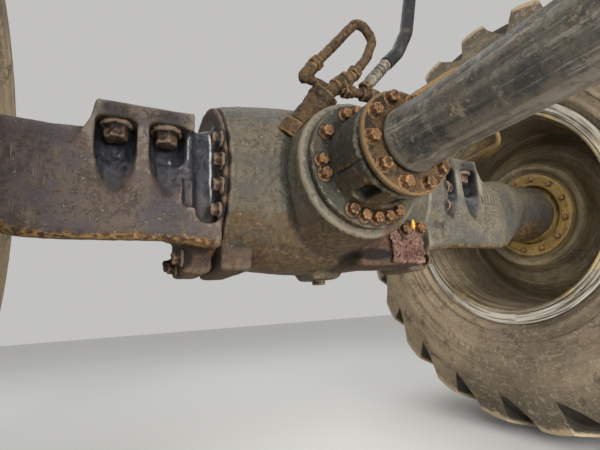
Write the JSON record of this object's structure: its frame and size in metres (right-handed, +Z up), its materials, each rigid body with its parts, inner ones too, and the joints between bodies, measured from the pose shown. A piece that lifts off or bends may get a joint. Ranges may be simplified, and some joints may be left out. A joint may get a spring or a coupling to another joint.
{
  "type": "wheel loader drive axle",
  "caption": "Front drive axle of a wheel loader: cast housing with frame pads, lugged tyres on steel wheels, ribbed pinion carrier, brake pipes and a propeller shaft.",
  "frame": {"origin": "centre of the frame bolt pattern, on the top plane of the mounting pads", "axes": "+X along the axle to the machine's right, +Y forward, +Z up"},
  "size_m": [2.205, 1.8777, 1.3504],
  "materials": {
    "cast_iron_paint": "worn dark paint over cast iron, dirt and rust",
    "rusty_steel": "rusted steel",
    "plated_steel": "dull plated steel",
    "shaft_paint": "scratched dark paint with dried mud",
    "hose_rubber": "dusty black rubber",
    "rim_paint": "dusty dark paint, worn bright at the edges",
    "hub_paint": "faded yellow paint with rust",
    "tyre": "dusty worn rubber"
  },
  "bodies": {
    "housing": {"centre_housing": "cast_iron_paint", "arm_left": "cast_iron_paint", "arm_right": "cast_iron_paint", "pinion_carrier": "cast_iron_paint", "brake_cylinder": "rusty_steel", "brake_pipe_bend": "rusty_steel", "pipe_elbow": "rusty_steel", "brake_tee": "rusty_steel", "hose_ferrule": "plated_steel", "brake_hose": "hose_rubber", "brake_line_right": "rusty_steel", "brake_line_left": "rusty_steel", "drain_plug": "rusty_steel", "breather": "rusty_steel"},
    "wheel_left": {"rim_base_left": "rim_paint", "inner_side_ring_left": "rim_paint", "outer_side_ring_left": "rim_paint", "wheel_disc_left": "rim_paint", "wheel_hub_left": "hub_paint", "hub_cover_left": "hub_paint", "tyre_left": "tyre"},
    "wheel_right": {"rim_base_right": "rim_paint", "inner_side_ring_right": "rim_paint", "outer_side_ring_right": "rim_paint", "wheel_disc_right": "rim_paint", "wheel_hub_right": "hub_paint", "hub_cover_right": "hub_paint", "tyre_right": "tyre"},
    "shaft": {"companion_flange": "rusty_steel", "shaft_tube": "shaft_paint"},
    "slip_yoke": {"slip_yoke": "shaft_paint"},
    "joint_cross": {"joint_cross": "plated_steel"},
    "end_yoke": {"end_yoke": "shaft_paint"}
  },
  "joints": [
    {"name": "wheel_left_spin", "type": "hinge", "parent": "housing", "child": "wheel_left", "pos_m": [-0.88, 0, -0.09], "axis": [1, 0, 0], "continuous": true},
    {"name": "wheel_right_spin", "type": "hinge", "parent": "housing", "child": "wheel_right", "pos_m": [0.88, 0, -0.09], "axis": [1, 0, 0], "continuous": true},
    {"name": "shaft_spin", "type": "hinge", "parent": "housing", "child": "shaft", "pos_m": [0, -0.35, -0.106], "axis": [0, 1, 0], "continuous": true},
    {"name": "shaft_slip", "type": "slide", "parent": "shaft", "child": "slip_yoke", "axis": [0, -1, 0], "range_m": [-0.04, 0.04]},
    {"name": "cross_yaw", "type": "hinge", "parent": "slip_yoke", "child": "joint_cross", "pos_m": [0, -1.112, -0.106], "axis": [0, 0, 1], "range_deg": [-20, 20]},
    {"name": "cross_pitch", "type": "hinge", "parent": "joint_cross", "child": "end_yoke", "pos_m": [0, -1.112, -0.106], "axis": [1, 0, 0], "range_deg": [-20, 20]}
  ]
}
